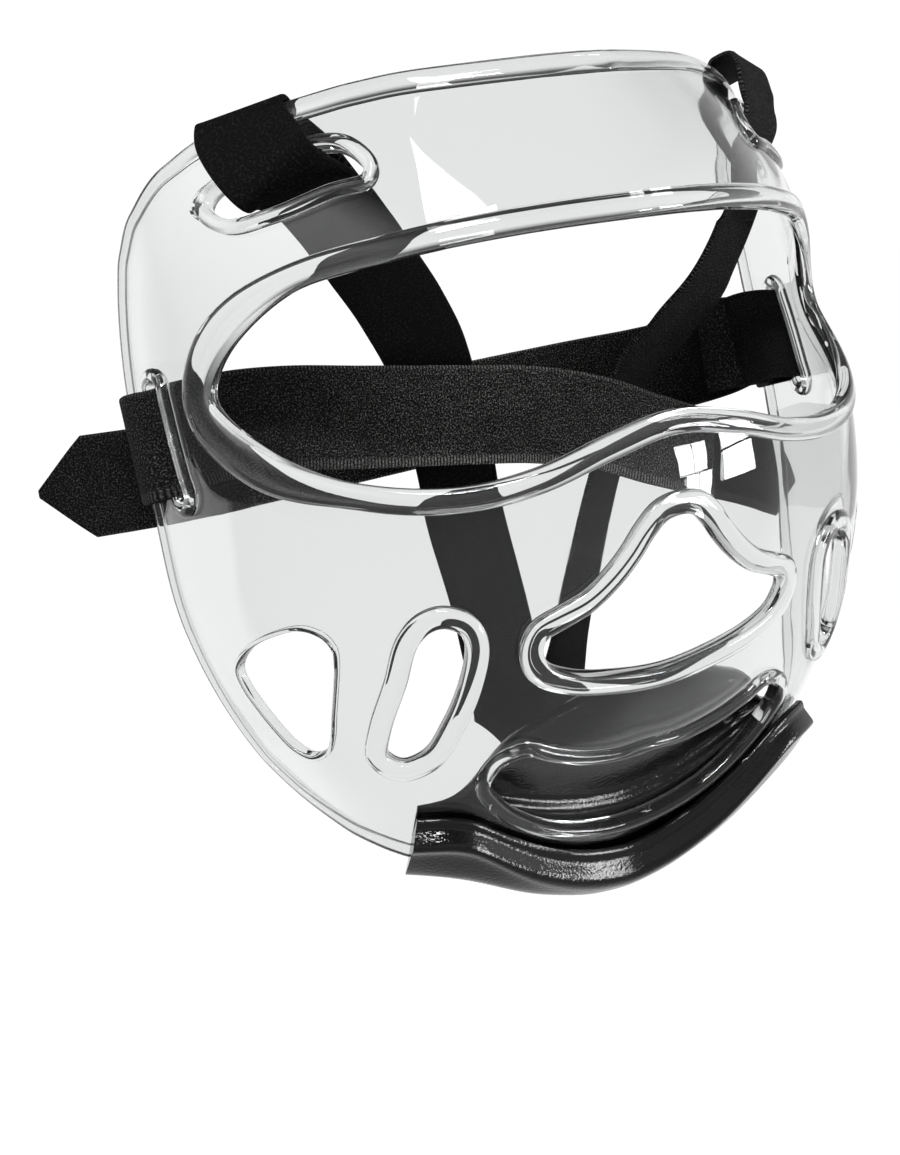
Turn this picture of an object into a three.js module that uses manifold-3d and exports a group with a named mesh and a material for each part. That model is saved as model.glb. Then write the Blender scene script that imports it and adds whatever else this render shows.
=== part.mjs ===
// Clear face shield for martial-arts headgear, with its black chin guard and four straps.
// Millimetres. Z up, the face looks along -Y, X runs to the wearer's left.
// The origin lies on the centre plane at eye level, level with the side strap slots.
import * as THREE from 'three';
import { mergeVertices } from 'three/addons/utils/BufferGeometryUtils.js';
import Module from 'manifold-3d';

const wasm = await Module();
wasm.setup();

const WALL = 2.5; // sheet thickness of the shield
const GAP = 0.3; // clearance left between neighbouring pieces
const RIM_REACH = 1.9; // how far the free edge's rim stands out from the middle of the sheet
const OPENING_RIM_REACH = 2.3; // the same for the rims round the openings
const OPENING_RIM_SUNK = 0.9; // depth of their middle below the outer face
const FACET_ROOM = 0.1; // extra clearance where two faceted curves lie side by side
const RIM_SIDES = 6; // sides of the bars that make the raised rims
const SECTION_STEP = 30; // spacing of the horizontal sections below
const SECTION_TOP = 60; // height of the first section

// Outer face of the shield as horizontal sections, from the forehead down to the chin.
// front: where the middle of the section stands; widest: where it is widest; power: squareness.
const SECTIONS = [
  { halfWidth: 79, front: -49, widest: 15, power: 1.5 },
  { halfWidth: 88.5, front: -65, widest: 21, power: 1.9 },
  { halfWidth: 92.5, front: -71.5, widest: 20.5, power: 2.1 },
  { halfWidth: 92.5, front: -73.5, widest: 14.5, power: 2.35 },
  { halfWidth: 91, front: -67.5, widest: 9.5, power: 2.5 },
  { halfWidth: 81.5, front: -56, widest: -0.5, power: 2.5 },
  { halfWidth: 62, front: -40.5, widest: -15, power: 2.35 },
  { halfWidth: 42, front: -25, widest: -29.5, power: 2.15 },
];

const SIDE_ANGLE = 85; // the sheet runs this far round to each side, in degrees
// Height of the sheet's top and bottom edges at an angle round from the front.
const TOP_EDGE = [
  { angle: 0, z: 56 }, { angle: 35, z: 56 }, { angle: 45, z: 55 }, { angle: 60, z: 52.3 },
  { angle: 71, z: 48.5 }, { angle: 79, z: 42.5 }, { angle: 83.5, z: 34 }, { angle: 85, z: 26 },
];
const BOTTOM_EDGE = [
  { angle: 0, z: -133.5 }, { angle: 34, z: -132.5 }, { angle: 52, z: -130 }, { angle: 61, z: -127 },
  { angle: 65, z: -123 }, { angle: 70, z: -119.5 }, { angle: 74, z: -116 }, { angle: 79, z: -110 },
  { angle: 83, z: -101 }, { angle: 85, z: -92 },
];

// ---------------------------------------------------------------- small helpers

const mix = (a, b, t) => a + (b - a) * t;

function lookUp(table, key, at, value) {
  const last = table.length - 1;
  if (at <= table[0][key]) return table[0][value];
  for (let i = 0; i < last; i += 1) {
    const [p, q] = [table[i], table[i + 1]];
    if (at <= q[key]) return mix(p[value], q[value], (at - p[key]) / (q[key] - p[key]));
  }
  return table[last][value];
}

// Smooth curve through the section values.
function sectionValue(name, z) {
  const last = SECTIONS.length - 1;
  const pick = (i) => {
    if (i < 0) return 2 * SECTIONS[0][name] - SECTIONS[1][name];
    if (i > last) return 2 * SECTIONS[last][name] - SECTIONS[last - 1][name];
    return SECTIONS[i][name];
  };
  const at = (SECTION_TOP - z) / SECTION_STEP;
  const i = Math.min(Math.max(Math.floor(at), 0), last - 1);
  const t = at - i;
  const [a, b, c, d] = [pick(i - 1), pick(i), pick(i + 1), pick(i + 2)];
  const cubic = (3 * b - 3 * c + d - a) * t + (2 * a - 5 * b + 4 * c - d);
  return 0.5 * (2 * b + (c - a + cubic * t) * t);
}

function section(z) {
  const half = sectionValue('halfWidth', z);
  const widest = sectionValue('widest', z);
  return { half, widest, depth: widest - sectionValue('front', z), power: sectionValue('power', z) };
}

function faceValue(p) {
  const s = section(p.z);
  const across = Math.abs(p.x) / s.half;
  const ahead = Math.max(s.widest - p.y, 0) / s.depth;
  return across ** s.power + ahead ** s.power;
}

function faceNormal(p) {
  const step = 0.05;
  const slope = (axis) => {
    const [more, less] = [p.clone(), p.clone()];
    more[axis] += step;
    less[axis] -= step;
    return faceValue(more) - faceValue(less);
  };
  return new THREE.Vector3(slope('x'), slope('y'), slope('z')).normalize();
}

// Points of the outer face: by angle round from the front, as seen from the front, from the side.
function faceAtAngle(degrees, z) {
  const s = section(z);
  const angle = THREE.MathUtils.degToRad(degrees);
  const [sin, cos] = [Math.sin(angle), Math.cos(angle)];
  const sum = (Math.abs(sin) / s.half) ** s.power + (cos / s.depth) ** s.power;
  const reach = sum ** (-1 / s.power);
  return new THREE.Vector3(reach * sin, s.widest - reach * cos, z);
}

function faceFromFront(x, z) {
  const s = section(z);
  const left = Math.max(1 - (Math.abs(x) / s.half) ** s.power, 0);
  return new THREE.Vector3(x, s.widest - s.depth * left ** (1 / s.power), z);
}

function faceFromSide(y, z, side) {
  const s = section(z);
  const left = Math.max(1 - (Math.max(s.widest - y, 0) / s.depth) ** s.power, 0);
  return new THREE.Vector3(side * s.half * left ** (1 / s.power), y, z);
}

const offFace = (p, distance) => p.clone().addScaledVector(faceNormal(p), distance);

// ---------------------------------------------------------------- solids from rings

function geometryFrom(points, triangles) {
  const geometry = new THREE.BufferGeometry();
  geometry.setAttribute('position', new THREE.Float32BufferAttribute(points.flatMap((p) => p.toArray()), 3));
  geometry.setIndex(triangles);
  return geometry;
}

function signedVolume(points, triangles) {
  let total = 0;
  for (let i = 0; i < triangles.length; i += 3) {
    const [a, b, c] = [0, 1, 2].map((k) => points[triangles[i + k]]);
    total += a.dot(b.clone().cross(c));
  }
  return total / 6;
}

// Joins rings of equal length into one closed body; open rows of rings get flat end caps.
function loft(rings, closed, capOutline) {
  const size = rings[0].length;
  const points = rings.flat();
  const triangles = [];
  const rows = closed ? rings.length : rings.length - 1;
  for (let r = 0; r < rows; r += 1) {
    const here = r * size;
    const next = ((r + 1) % rings.length) * size;
    for (let k = 0; k < size; k += 1) {
      const k2 = (k + 1) % size;
      triangles.push(here + k, here + k2, next + k2, here + k, next + k2, next + k);
    }
  }
  if (!closed) {
    const cap = THREE.ShapeUtils.triangulateShape(capOutline, []);
    if (THREE.ShapeUtils.isClockWise(capOutline)) cap.forEach((face) => face.reverse());
    const end = (rings.length - 1) * size;
    cap.forEach(([a, b, c]) => triangles.push(a, c, b, end + a, end + b, end + c));
  }
  if (signedVolume(points, triangles) < 0) {
    for (let i = 0; i < triangles.length; i += 3) {
      [triangles[i], triangles[i + 1]] = [triangles[i + 1], triangles[i]];
    }
  }
  return geometryFrom(points, triangles);
}

function toManifold(geometry) {
  const bare = new THREE.BufferGeometry();
  bare.setAttribute('position', geometry.getAttribute('position'));
  if (geometry.index) bare.setIndex(geometry.index);
  const merged = mergeVertices(bare, 1e-4);
  return new wasm.Manifold(new wasm.Mesh({
    numProp: 3,
    vertProperties: new Float32Array(merged.getAttribute('position').array),
    triVerts: new Uint32Array(merged.index.array),
  }));
}

function fromManifold(solid) {
  const mesh = solid.getMesh();
  const geometry = new THREE.BufferGeometry();
  geometry.setAttribute('position', new THREE.BufferAttribute(new Float32Array(mesh.vertProperties), 3));
  geometry.setIndex(new THREE.BufferAttribute(new Uint32Array(mesh.triVerts), 1));
  return geometry;
}

// ---------------------------------------------------------------- raised rims

// A rounded bar laid along a row of face points, its middle sunk below the outer face.
function rimBar(places, { halfThick, sunk, closed = true }) {
  const count = places.length;
  const rings = places.map((place, i) => {
    const before = places[closed ? (i + count - 1) % count : Math.max(i - 1, 0)].point;
    const after = places[closed ? (i + 1) % count : Math.min(i + 1, count - 1)].point;
    const along = after.clone().sub(before).normalize();
    const out = faceNormal(place.point);
    const across = out.clone().cross(along).normalize();
    const middle = place.point.clone().addScaledVector(out, -sunk);
    const ring = [];
    for (let k = 0; k < RIM_SIDES; k += 1) {
      const turn = (k * 2 * Math.PI) / RIM_SIDES;
      ring.push(middle.clone()
        .addScaledVector(across, place.halfWidth * Math.cos(turn))
        .addScaledVector(out, halfThick * Math.sin(turn)));
    }
    return ring;
  });
  const capOutline = rings[0].map((_, k) => {
    const turn = (k * 2 * Math.PI) / RIM_SIDES;
    return new THREE.Vector2(Math.cos(turn), Math.sin(turn));
  });
  return loft(rings, closed, capOutline);
}

function smoothLoop(corners, count) {
  const points = corners.map(([u, v]) => new THREE.Vector3(u, v, 0));
  const curve = new THREE.CatmullRomCurve3(points, true, 'centripetal');
  return curve.getSpacedPoints(count).slice(0, count).map((p) => new THREE.Vector2(p.x, p.y));
}

const mirrored = (half) => half.concat(half.filter(([u]) => u > 0).reverse().map(([u, v]) => [-u, v]));

// Openings, each as the middle line of its rim. Front ones are drawn in x and z, side ones in y and z.
const OPENINGS = [
  {
    name: 'goggle', view: 'front', near: -100, far: -6, halfWidth: 2.8, points: 56,
    outline: mirrored([
      [0, 24.7], [29, 24.2], [50, 22.3], [69, 18.3], [80, 10], [85.5, -1.5], [85.6, -11],
      [79, -21.5], [64, -28], [48, -30.2], [33, -28.6], [16, -24], [0, -21.3],
    ]),
    ends: { from: 66, to: 84, extra: 2 }, // the rim is wider at the two outer ends
  },
  {
    name: 'nose', view: 'front', near: -100, far: -30, halfWidth: 2.9, points: 30,
    outline: mirrored([
      [0, -39], [5, -40], [9, -43.5], [12.7, -48.3], [17.2, -53], [22.5, -57], [29, -59.6], [34, -62],
      [35.3, -66.5], [33, -71.8], [26, -76], [13, -79.2], [0, -80.6],
    ]),
  },
  {
    name: 'mouth', view: 'front', near: -100, far: -20, halfWidth: 1.9, points: 32,
    outline: mirrored([
      [0, -99.4], [9, -99.6], [20, -97.4], [27.5, -94.5], [34, -91.5], [40.5, -93.3], [43, -99],
      [38.5, -106.7], [30, -114.2], [18.5, -120], [0, -123.2],
    ]),
  },
  {
    name: 'cheek_slot', view: 'front', near: -100, far: -20, halfWidth: 2.6, points: 20, paired: true,
    outline: [
      [53.8, -54.9], [49, -57.5], [47, -62.5], [48.4, -72], [52, -82], [56.3, -89.6], [60.5, -92],
      [64.6, -87.5], [64.6, -80], [62.7, -69], [60.7, -59.5], [57.6, -55.8],
    ],
  },
  {
    name: 'vent', view: 'side', near: 55, far: 100, halfWidth: 2, points: 20, paired: true,
    outline: [
      [-19.5, -68], [-23, -63], [-33, -56.3], [-40.5, -53.6], [-45.5, -56], [-46.3, -61.5],
      [-42.8, -74], [-38.3, -82.5], [-33, -85.3], [-27.5, -84.6], [-23.5, -79.5], [-20, -73],
    ],
  },
  {
    name: 'top_slot', view: 'front', near: -100, far: -2, halfWidth: 1.7, points: 18, paired: true,
    outline: [
      [49, 39.5], [51.4, 44.6], [57.5, 45.4], [69, 42.2], [75.6, 38], [77.3, 34], [74.8, 30.6],
      [68, 31.6], [57, 35], [50.8, 36.2],
    ],
  },
  {
    name: 'side_slot', view: 'side', near: 78, far: 100, halfWidth: 1.5, points: 16, paired: true,
    outline: [
      [-0.6, 0.8], [-4.2, -0.6], [-6.2, -5.6], [-11.6, -21.8], [-13.2, -26.6], [-11.4, -29.8],
      [-7.6, -28.6], [-5.6, -23.4], [0, -6.4], [1.8, -1.6],
    ],
  },
];

function openingBodies(opening, side) {
  const front = opening.view === 'front';
  const line = smoothLoop(opening.outline, opening.points);
  const extraAt = (x) => {
    if (!opening.ends) return 0;
    const { from, to, extra } = opening.ends;
    return extra * THREE.MathUtils.smoothstep(Math.abs(x), from, to);
  };
  const places = line.map((q) => ({
    point: front ? faceFromFront(side * q.x, q.y) : faceFromSide(q.x, q.y, side),
    halfWidth: opening.halfWidth + extraAt(q.x),
  }));
  const rings = [opening.near, opening.far].map((depth) => line.map((q) => (
    front ? new THREE.Vector3(side * q.x, depth, q.y) : new THREE.Vector3(side * depth, q.x, q.y)
  )));
  return {
    cutter: toManifold(loft(rings, false, line)),
    rim: toManifold(rimBar(places, { halfThick: OPENING_RIM_REACH, sunk: OPENING_RIM_SUNK })),
  };
}

// ---------------------------------------------------------------- the clear shield

const COLUMNS = 30; // cells of the sheet round the face
const ROWS = 14; // cells of the sheet up the face
const CROWDING = 1.3; // above 1, the columns stand closer together towards the sides

function sheetAngle(i) {
  const u = (2 * i) / COLUMNS - 1;
  return Math.sign(u) * SIDE_ANGLE * (1 - (1 - Math.abs(u)) ** CROWDING);
}

const topEdge = (angle) => lookUp(TOP_EDGE, 'angle', Math.abs(angle), 'z');
const bottomEdge = (angle) => lookUp(BOTTOM_EDGE, 'angle', Math.abs(angle), 'z');

// The bent sheet without its openings, grown all round by a clearance.
function sheetBody(clearance) {
  const points = [];
  for (const out of [clearance, -WALL - clearance]) {
    for (let i = 0; i <= COLUMNS; i += 1) {
      const angle = sheetAngle(i);
      for (let j = 0; j <= ROWS; j += 1) {
        const z = mix(bottomEdge(angle), topEdge(angle), j / ROWS);
        points.push(offFace(faceAtAngle(angle, j ? z : z - clearance), out));
      }
    }
  }
  const at = (layer, i, j) => (layer * (COLUMNS + 1) + i) * (ROWS + 1) + j;
  const triangles = [];
  const quad = (a, b, c, d) => triangles.push(a, b, c, a, c, d);
  for (let i = 0; i < COLUMNS; i += 1) {
    for (let j = 0; j < ROWS; j += 1) {
      quad(at(0, i, j), at(0, i + 1, j), at(0, i + 1, j + 1), at(0, i, j + 1));
      quad(at(1, i, j), at(1, i, j + 1), at(1, i + 1, j + 1), at(1, i + 1, j));
    }
    quad(at(1, i, 0), at(1, i + 1, 0), at(0, i + 1, 0), at(0, i, 0));
    quad(at(0, i, ROWS), at(0, i + 1, ROWS), at(1, i + 1, ROWS), at(1, i, ROWS));
  }
  for (let j = 0; j < ROWS; j += 1) {
    quad(at(1, 0, j), at(0, 0, j), at(0, 0, j + 1), at(1, 0, j + 1));
    quad(at(0, COLUMNS, j), at(1, COLUMNS, j), at(1, COLUMNS, j + 1), at(0, COLUMNS, j + 1));
  }
  return toManifold(geometryFrom(points, triangles));
}

// The thick free edge: up one side, over the forehead and down the other, clear of the chin guard.
function edgeRim() {
  const places = [];
  const sideSteps = 12;
  const sideHalf = 1.9;
  const topHalf = 2.9;
  const add = (angle, z, halfWidth) => places.push({ point: faceAtAngle(angle, z), halfWidth });
  const lowAngles = [-76, -79, -81.5, -83.5];
  lowAngles.forEach((angle) => add(angle, bottomEdge(angle), sideHalf));
  for (let i = 0; i <= sideSteps; i += 1) {
    add(-SIDE_ANGLE, mix(bottomEdge(SIDE_ANGLE), topEdge(SIDE_ANGLE), i / sideSteps), sideHalf);
  }
  const topAngles = [-84.2, -82.5, -79, -75, -70, -64, -56, -48, -40, -30, -20, -10];
  topAngles.concat(0, topAngles.map((angle) => -angle).reverse()).forEach((angle) => {
    add(angle, topEdge(angle), mix(topHalf, sideHalf, THREE.MathUtils.smoothstep(Math.abs(angle), 50, 84)));
  });
  for (let i = 0; i <= sideSteps; i += 1) {
    add(SIDE_ANGLE, mix(topEdge(SIDE_ANGLE), bottomEdge(SIDE_ANGLE), i / sideSteps), sideHalf);
  }
  lowAngles.reverse().forEach((angle) => add(-angle, bottomEdge(angle), sideHalf));
  return toManifold(rimBar(places, { halfThick: RIM_REACH, sunk: WALL / 2, closed: false }));
}

function buildShield() {
  let body = sheetBody(0);
  const rims = [edgeRim()];
  OPENINGS.forEach((opening) => {
    (opening.paired ? [-1, 1] : [1]).forEach((side) => {
      const { cutter, rim } = openingBodies(opening, side);
      body = body.subtract(cutter);
      rims.push(rim);
    });
  });
  rims.forEach((rim) => { body = body.add(rim); });
  return fromManifold(body);
}

// ---------------------------------------------------------------- the black chin guard

const GUARD_HALF = 56; // the guard ends this far out to each side
const GUARD_STATIONS = 28;
const PAD_STEP = 4.6; // where the pad stands at least, inwards of the shield's outer face
// Heights across the guard: outer lip, ridge, underside, and the pad behind the mouth opening;
// deep is the share of the pad's full depth, which thins out towards the ends.
const GUARD_LINES = [
  { x: 0, lip: -129, ridge: -136.2, base: -142, pad: -84, deep: 1 },
  { x: 11, lip: -127, ridge: -134.2, base: -140.5, pad: -85, deep: 1 },
  { x: 18, lip: -124.3, ridge: -131.5, base: -138, pad: -86.8, deep: 1 },
  { x: 27, lip: -119.8, ridge: -126.8, base: -134.5, pad: -90, deep: 1 },
  { x: 36, lip: -113.7, ridge: -119.6, base: -129.5, pad: -93.6, deep: 1 },
  { x: 40, lip: -110.6, ridge: -115.8, base: -127, pad: -99.5, deep: 0.9 },
  { x: 44, lip: -107.4, ridge: -112.2, base: -125, pad: -104, deep: 0.6 },
  { x: 48, lip: -106, ridge: -110.6, base: -123.2, pad: -105.8, deep: 0.3 },
  { x: 56, lip: -105, ridge: -109.8, base: -121, pad: -106, deep: 0.08 },
];

function guardRing(x) {
  const line = (name) => lookUp(GUARD_LINES, 'x', Math.abs(x), name);
  const [lip, ridge, base, pad, deep] = ['lip', 'ridge', 'base', 'pad', 'deep'].map(line);
  const rise = pad - lip;
  const inwards = (depth) => -mix(PAD_STEP, depth, deep);
  return [
    [lip - 0.6, -0.5], [lip - 0.6, 0.4], [lip - 0.1, 1.5], [mix(lip, ridge, 0.28), 3.6],
    [mix(lip, ridge, 0.7), 5.6], [ridge, 5.3], [base + 1.6, 3.6], [base, 0], [base + 1, inwards(6.5)],
    [base + 5, inwards(10.2)], [mix(base + 5, pad, 0.5), inwards(11.5)], [pad - 1.4, inwards(10.6)],
    [pad, inwards(8.2)], [pad - 0.3, inwards(6)],
    [pad - 0.15 * rise, -4.4], [lip + 0.2 * rise, -4.4], [lip - 1.2, -2.4],
  ].map(([z, out]) => offFace(faceFromFront(x, z), out));
}

function buildChinGuard() {
  const rings = [];
  for (let i = 0; i <= GUARD_STATIONS; i += 1) {
    rings.push(guardRing(mix(-GUARD_HALF, GUARD_HALF, i / GUARD_STATIONS)));
  }
  const capOutline = rings[0].map((p) => new THREE.Vector2(p.y, p.z));
  const solid = toManifold(loft(rings, false, capOutline));
  return fromManifold(solid.subtract(sheetBody(GAP + FACET_ROOM)));
}

// ---------------------------------------------------------------- straps

const STRAP_THICK = 1.5;
const SIDE_STRAP_WIDTH = 25;
const TOP_STRAP_WIDTH = 21.5;
const TIP = 0.08; // share of the width left at a strap's pointed tip

const asVector = ([x, y, z]) => new THREE.Vector3(x, y, z);

// A flat band along a row of stops; each stop gives its place, the direction across the band, how
// much of the full width is left there, and its skew: 0 squares the band across its run, 1 keeps
// the direction as given, which lays a slanted crease.
function band(stops, fullWidth, stepsPerStop) {
  const curve = new THREE.CatmullRomCurve3(stops.map((s) => asVector(s.at)), false, 'centripetal');
  const corners = [[-1, -1], [1, -1], [1, 1], [-1, 1]];
  const spans = stops.length - 1;
  const count = spans * stepsPerStop;
  const rings = [];
  for (let i = 0; i <= count; i += 1) {
    const t = i / count;
    const span = Math.min(Math.floor(t * spans), spans - 1);
    const local = t * spans - span;
    const [from, to] = [stops[span], stops[span + 1]];
    const along = curve.getTangent(t);
    const across = asVector(from.across).normalize().lerp(asVector(to.across).normalize(), local);
    const skew = mix(from.skew ?? 0, to.skew ?? 0, local);
    across.addScaledVector(along, -across.dot(along) * (1 - skew)).normalize();
    const out = across.clone().cross(along).normalize();
    const half = (fullWidth * mix(from.part ?? 1, to.part ?? 1, local)) / 2;
    const middle = curve.getPoint(t);
    rings.push(corners.map(([u, v]) => middle.clone()
      .addScaledVector(across, u * half)
      .addScaledVector(out, (v * STRAP_THICK) / 2)));
  }
  return loft(rings, false, corners.map(([u, v]) => new THREE.Vector2(u, v)));
}

// Stops on a half turn from the outer face round the thick free edge to the inner face.
function turnRoundEdge({ angle, z, across, reach, slack }) {
  const edge = faceAtAngle(angle, z);
  const out = faceNormal(edge);
  const middle = edge.addScaledVector(out, -WALL / 2);
  const along = asVector(across).normalize();
  const off = out.clone().cross(along).normalize();
  if (off.y < 0) off.negate();
  const standOff = RIM_REACH + GAP + FACET_ROOM + STRAP_THICK / 2;
  return [0, 1, 2, 3, 4].map((i) => {
    const turn = (i * Math.PI) / 4;
    const at = middle.clone()
      .addScaledVector(out, (i < 3 ? standOff : standOff + slack) * Math.cos(turn))
      .addScaledVector(off, reach * Math.sin(turn));
    return { at: at.toArray(), across };
  });
}

const UPRIGHT = [0, -0.12, -1];
const ALONG_SIDE_SLOT = [0, -0.33, -0.94];
const ALONG_SIDE_EDGE = [0, -0.22, -0.97];

// Through the side slot, back round the shield's edge and in again close beside the tail.
const sideLoop = (side) => [
  { at: [side * 80, -3.6, -13.4], across: ALONG_SIDE_SLOT },
  { at: [side * 86, -5.2, -13.8], across: ALONG_SIDE_SLOT },
  { at: [side * 90.2, -5.8, -14.2], across: ALONG_SIDE_SLOT },
  { at: [side * 94.2, -5, -14.6], across: ALONG_SIDE_SLOT },
  { at: [side * 96, -1.6, -15.2], across: ALONG_SIDE_SLOT },
  { at: [side * 96, 3.6, -16], across: ALONG_SIDE_EDGE },
  ...turnRoundEdge({ angle: side * SIDE_ANGLE, z: -17, across: ALONG_SIDE_EDGE, reach: 3.3, slack: 0.5 }),
  { at: [side * 84.2, 3.4, -16], across: ALONG_SIDE_SLOT },
  { at: [side * 79, -0.2, -15], across: ALONG_SIDE_SLOT },
  { at: [side * 72, 0.9, -14.6], across: UPRIGHT },
  { at: [side * 64, 2.1, -14.8], across: UPRIGHT },
];

// Each strap's stops start at its pointed tip.
const sideRight = [
  { at: [112, 20, -62], part: TIP }, { at: [101, 18, -58] }, { at: [84, 12.5, -51.4] },
  { at: [62, 3.4, -43.4] }, { at: [43, -0.4, -36.2] }, { at: [27.8, -1.2, -29.8] },
  { at: [8.4, -1, -24.3] }, { at: [-11.5, -0.9, -21.1] }, { at: [-39.7, -0.8, -17.1] },
  { at: [-58, -0.8, -14.4] }, { at: [-71, -1.8, -13.4] },
];

const sideLeft = [
  { at: [-114, 28, -25], part: TIP }, { at: [-102, 28, -25.3] }, { at: [-84, 27, -25.6] },
  { at: [-48, 25.5, -24.7] }, { at: [10, 23.5, -22.3] }, { at: [39.6, 24, -21.4] }, { at: [56, 20.2, -20.7] },
  { at: [67.4, 12.4, -19] }, { at: [72.6, 4, -16.6] }, { at: [75.4, -1.2, -14.4] },
];

const TOP_ACROSS = [0.733, -0.659, 0.171];

const topRight = [
  { at: [-16.6, -13, -106], across: [1, -0.05, -0.1], part: TIP },
  { at: [-13.4, -9, -99.6], across: [1, -0.05, -0.1] }, { at: [-9.3, 3, -73.5], across: [1, -0.08, 0] },
  { at: [-10.6, 9, -47.3], across: [1, -0.12, 0] }, { at: [-11.8, 8.6, -33.6], across: [1, -0.12, 0] },
  { at: [-17, 5.5, -7.7], across: [0.98, -0.16, 0.1] },
  { at: [-26.8, -3, 7], across: [0.92, -0.34, 0.14] }, { at: [-38.2, -14, 18.2], across: [0.84, -0.5, 0.2] },
  { at: [-48.6, -24.4, 27.6], across: [0.76, -0.62, 0.18] }, { at: [-57, -30.8, 34.8], across: TOP_ACROSS },
  { at: [-61.8, -32, 37.4], across: TOP_ACROSS }, { at: [-66.2, -32, 40.4], across: TOP_ACROSS },
  { at: [-68, -26.6, 45.4], across: TOP_ACROSS },
  ...turnRoundEdge({ angle: -63, z: 51.2, across: TOP_ACROSS, reach: 4.3, slack: 1.8 }),
  { at: [-58.6, -18.6, 42.6], across: TOP_ACROSS }, { at: [-54.6, -22.6, 36.6], across: TOP_ACROSS },
  { at: [-48, -20.4, 29], across: TOP_ACROSS },
];

const LEFT_ACROSS = [0.733, 0.659, -0.171];
const LEFT_TWIST = [0.839, 0.545, 0];
const LEFT_TILT = [0.835, 0.525, -0.164];
const LEFT_INSIDE = [0.62, 0.74, -0.26];
const LEFT_OPEN = [0.7, 0.58, -0.41];

// Up through the slot, over the brow edge in a slanted crease, and down again inside the shield.
const topLeft = [
  { at: [3.8, -3, -108], across: LEFT_TWIST, part: TIP }, { at: [7.4, 1.6, -102.6], across: LEFT_TWIST },
  { at: [14.4, 7.4, -93.4], across: LEFT_TWIST }, { at: [19, 10, -84.6], across: LEFT_TWIST },
  { at: [29.6, 12.4, -60.5], across: LEFT_TWIST }, { at: [36.2, 12, -44.3], across: LEFT_TWIST },
  { at: [46, 9.7, -20], across: LEFT_OPEN }, { at: [52.9, -1.7, -7.4], across: LEFT_OPEN },
  { at: [57.6, -12.2, 3.5], across: LEFT_OPEN }, { at: [62.6, -21, 19.9], across: LEFT_TILT },
  { at: [60.7, -27, 29.6], across: LEFT_ACROSS }, { at: [60.8, -29.6, 35.2], across: LEFT_TILT },
  { at: [62.6, -30.2, 38.2], across: LEFT_TILT }, { at: [64.4, -30.1, 42.2], across: LEFT_TILT },
  { at: [65.4, -28.2, 47.1], across: LEFT_TILT }, { at: [67, -25.2, 52.4], across: LEFT_TILT },
  { at: [68, -21.4, 56.4], across: LEFT_TILT, skew: 1 }, { at: [68, -15.2, 56.2], across: LEFT_TILT, skew: 1 },
  { at: [65.8, -10.8, 54], across: LEFT_INSIDE, skew: 1 },
  { at: [64.4, -9.8, 49.7], across: LEFT_INSIDE, skew: 1 },
  { at: [64.2, -12.4, 45], across: LEFT_INSIDE }, { at: [63.6, -16.6, 40], across: LEFT_INSIDE },
  { at: [62.4, -21, 35], across: LEFT_ACROSS }, { at: [61.2, -24, 29.6], across: LEFT_ACROSS },
];

const withAcross = (stops) => stops.map((stop) => ({ across: UPRIGHT, ...stop }));

const STRAPS = {
  strap_side_right: { width: SIDE_STRAP_WIDTH, stops: withAcross(sideRight).concat(sideLoop(-1)) },
  strap_side_left: { width: SIDE_STRAP_WIDTH, stops: withAcross(sideLeft).concat(sideLoop(1)) },
  strap_top_right: { width: TOP_STRAP_WIDTH, stops: topRight },
  strap_top_left: { width: TOP_STRAP_WIDTH, stops: topLeft },
};

// ---------------------------------------------------------------- the finished object

const clear = new THREE.MeshStandardMaterial({
  color: 0xe6e9ea, roughness: 0.05, metalness: 0, transparent: true, opacity: 0.35,
});
const glossBlack = new THREE.MeshStandardMaterial({ color: 0x0b0b0c, roughness: 0.25, metalness: 0 });
const webbing = new THREE.MeshStandardMaterial({ color: 0x101012, roughness: 0.95, metalness: 0 });

const root = new THREE.Group();

function addPiece(name, geometry, material) {
  geometry.computeVertexNormals();
  const mesh = new THREE.Mesh(geometry, material);
  mesh.name = name;
  root.add(mesh);
}

addPiece('shield', buildShield(), clear);
addPiece('chin_guard', buildChinGuard(), glossBlack);
Object.entries(STRAPS).forEach(([name, { stops, width }]) => {
  addPiece(name, band(stops, width, 2), webbing);
});

export default root;
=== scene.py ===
"""Clear martial-arts face shield with its black chin guard and hook-and-loop straps.

Lengths in the tables are millimetres in the part's frame: Z up, the face looks along -Y.
Every mesh is turned into metres when it is made.
"""
import math
import bpy
import bmesh
from mathutils import Matrix, Vector
from mathutils.bvhtree import BVHTree
from mathutils.geometry import barycentric_transform


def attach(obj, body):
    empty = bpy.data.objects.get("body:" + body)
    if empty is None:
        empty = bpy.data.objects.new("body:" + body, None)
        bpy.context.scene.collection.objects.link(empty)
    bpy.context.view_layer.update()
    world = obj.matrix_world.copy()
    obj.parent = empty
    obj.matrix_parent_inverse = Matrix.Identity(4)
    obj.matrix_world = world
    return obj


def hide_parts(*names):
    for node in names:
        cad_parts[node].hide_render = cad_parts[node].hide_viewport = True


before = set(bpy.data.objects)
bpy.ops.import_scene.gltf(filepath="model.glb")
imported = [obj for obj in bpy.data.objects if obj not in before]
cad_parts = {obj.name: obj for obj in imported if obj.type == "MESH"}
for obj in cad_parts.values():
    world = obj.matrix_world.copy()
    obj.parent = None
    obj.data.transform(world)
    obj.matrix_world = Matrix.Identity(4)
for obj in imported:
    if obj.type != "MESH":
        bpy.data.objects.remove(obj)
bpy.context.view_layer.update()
MM = 0.001

# ------------------------------------------------------------------ the bent face

WALL = 2.5  # thickness of the sheet
GAP = 0.3  # room left between pieces that touch
MESH_SLACK = 0.1  # more room where one of the two is a coarser mesh
SECTION_TOP = 60.0
SECTION_STEP = 30.0
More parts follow.
